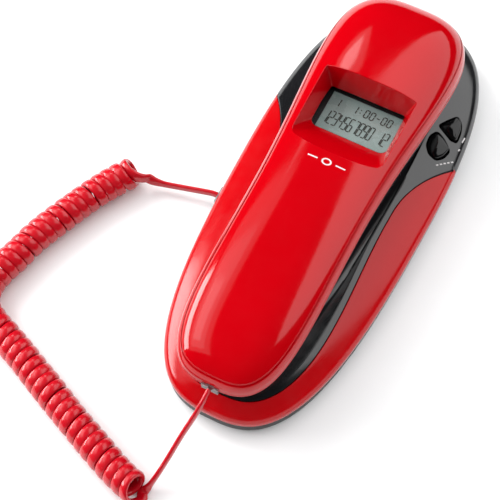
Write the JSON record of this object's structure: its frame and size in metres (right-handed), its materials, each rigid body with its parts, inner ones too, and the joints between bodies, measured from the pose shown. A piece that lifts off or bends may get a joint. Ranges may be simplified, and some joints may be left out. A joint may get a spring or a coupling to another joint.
{
  "type": "slimline wall phone",
  "caption": "Slimline corded wall phone: slim handset with keypad underneath and a display, lying on a low oval base with a curly cord.",
  "frame": {"origin": "centre of the base's outline at the plane of the feet, without the cord", "axes": "+X to the right across the phone, +Y along it towards the earpiece, which is up on a wall, +Z away from the wall"},
  "size_m": [0.1621, 0.2623, 0.0524],
  "materials": {
    "black_shell": "satin black",
    "red_shell": "polished red",
    "foot_rubber": "matte",
    "screw_steel": "plain steel",
    "board": "matte solder mask",
    "inner_plastic": "matte",
    "ringer_brass": "plain",
    "glass": "clear",
    "panel": "grey-green liquid crystal",
    "ribbon": "amber film",
    "key_silver": "satin silver paint",
    "cord_red": "glossy red cord jacket",
    "plug_clear": "clear plug"
  },
  "bodies": {
    "base": {"base_lower_shell": "black_shell", "base_deck": "black_shell", "base_wing": "red_shell", "rubber_feet": "foot_rubber", "base_screws": "screw_steel", "base_circuit_board": "board", "hook_switch": "inner_plastic", "hook_spring": "screw_steel", "ringer": "ringer_brass", "line_jack": "inner_plastic", "base_cord_jack": "inner_plastic", "handset_hanger_tab": "black_shell", "button_contact_pad": "inner_plastic", "base_cord_plug": "plug_clear", "cord_base_lead": "cord_red", "cord_coil": "cord_red", "cord_handset_lead": "cord_red"},
    "hook": {"hook_plunger": "black_shell"},
    "upper_button": {"upper_side_button": "black_shell"},
    "lower_button": {"lower_side_button": "black_shell"},
    "handset": {"handset_upper_shell": "red_shell", "handset_lower_shell": "black_shell", "display_lens": "glass", "display_panel": "panel", "display_frame": "inner_plastic", "display_board": "board", "display_ribbon": "ribbon", "keypad_board": "board", "keypad_membrane": "foot_rubber", "ear_speaker": "inner_plastic", "speaker_gasket": "foot_rubber", "microphone": "screw_steel", "microphone_boot": "foot_rubber", "balance_weight": "screw_steel", "handset_cord_jack": "inner_plastic", "handset_screws": "screw_steel", "handset_cord_plug": "plug_clear"},
    "key_1_body": {"key_1": "key_silver"},
    "key_2_body": {"key_2": "key_silver"},
    "key_3_body": {"key_3": "key_silver"},
    "key_4_body": {"key_4": "key_silver"},
    "key_5_body": {"key_5": "key_silver"},
    "key_6_body": {"key_6": "key_silver"},
    "key_7_body": {"key_7": "key_silver"},
    "key_8_body": {"key_8": "key_silver"},
    "key_9_body": {"key_9": "key_silver"},
    "key_star_body": {"key_star": "key_silver"},
    "key_0_body": {"key_0": "key_silver"},
    "key_hash_body": {"key_hash": "key_silver"}
  },
  "joints": [
    {"name": "handset_lift", "type": "slide", "parent": "base", "child": "handset", "axis": [0, 0, 1], "range_m": [0, 0.12]},
    {"name": "hook_travel", "type": "slide", "parent": "base", "child": "hook", "axis": [0, 0, 1], "range_m": [0, 0.003], "deforming": ["hook_spring"]},
    {"name": "upper_button_press", "type": "slide", "parent": "base", "child": "upper_button", "axis": [0, 0, -1], "range_m": [0, 0.001], "stiffness_N_per_m": 200},
    {"name": "lower_button_press", "type": "slide", "parent": "base", "child": "lower_button", "axis": [0, 0, -1], "range_m": [0, 0.001], "stiffness_N_per_m": 200},
    {"name": "key_1_press", "type": "slide", "parent": "handset", "child": "key_1_body", "axis": [0, 0, 1], "range_m": [0, 0.0012], "stiffness_N_per_m": 200},
    {"name": "key_2_press", "type": "slide", "parent": "handset", "child": "key_2_body", "axis": [0, 0, 1], "range_m": [0, 0.0012], "stiffness_N_per_m": 200},
    {"name": "key_3_press", "type": "slide", "parent": "handset", "child": "key_3_body", "axis": [0, 0, 1], "range_m": [0, 0.0012], "stiffness_N_per_m": 200},
    {"name": "key_4_press", "type": "slide", "parent": "handset", "child": "key_4_body", "axis": [0, 0, 1], "range_m": [0, 0.0012], "stiffness_N_per_m": 200},
    {"name": "key_5_press", "type": "slide", "parent": "handset", "child": "key_5_body", "axis": [0, 0, 1], "range_m": [0, 0.0012], "stiffness_N_per_m": 200},
    {"name": "key_6_press", "type": "slide", "parent": "handset", "child": "key_6_body", "axis": [0, 0, 1], "range_m": [0, 0.0012], "stiffness_N_per_m": 200},
    {"name": "key_7_press", "type": "slide", "parent": "handset", "child": "key_7_body", "axis": [0, 0, 1], "range_m": [0, 0.0012], "stiffness_N_per_m": 200},
    {"name": "key_8_press", "type": "slide", "parent": "handset", "child": "key_8_body", "axis": [0, 0, 1], "range_m": [0, 0.0012], "stiffness_N_per_m": 200},
    {"name": "key_9_press", "type": "slide", "parent": "handset", "child": "key_9_body", "axis": [0, 0, 1], "range_m": [0, 0.0012], "stiffness_N_per_m": 200},
    {"name": "key_star_press", "type": "slide", "parent": "handset", "child": "key_star_body", "axis": [0, 0, 1], "range_m": [0, 0.0012], "stiffness_N_per_m": 200},
    {"name": "key_0_press", "type": "slide", "parent": "handset", "child": "key_0_body", "axis": [0, 0, 1], "range_m": [0, 0.0012], "stiffness_N_per_m": 200},
    {"name": "key_hash_press", "type": "slide", "parent": "handset", "child": "key_hash_body", "axis": [0, 0, 1], "range_m": [0, 0.0012], "stiffness_N_per_m": 200}
  ],
  "couplings": [
    {"joint": "hook_travel", "follows": "handset_lift", "ratio": 0.025}
  ]
}
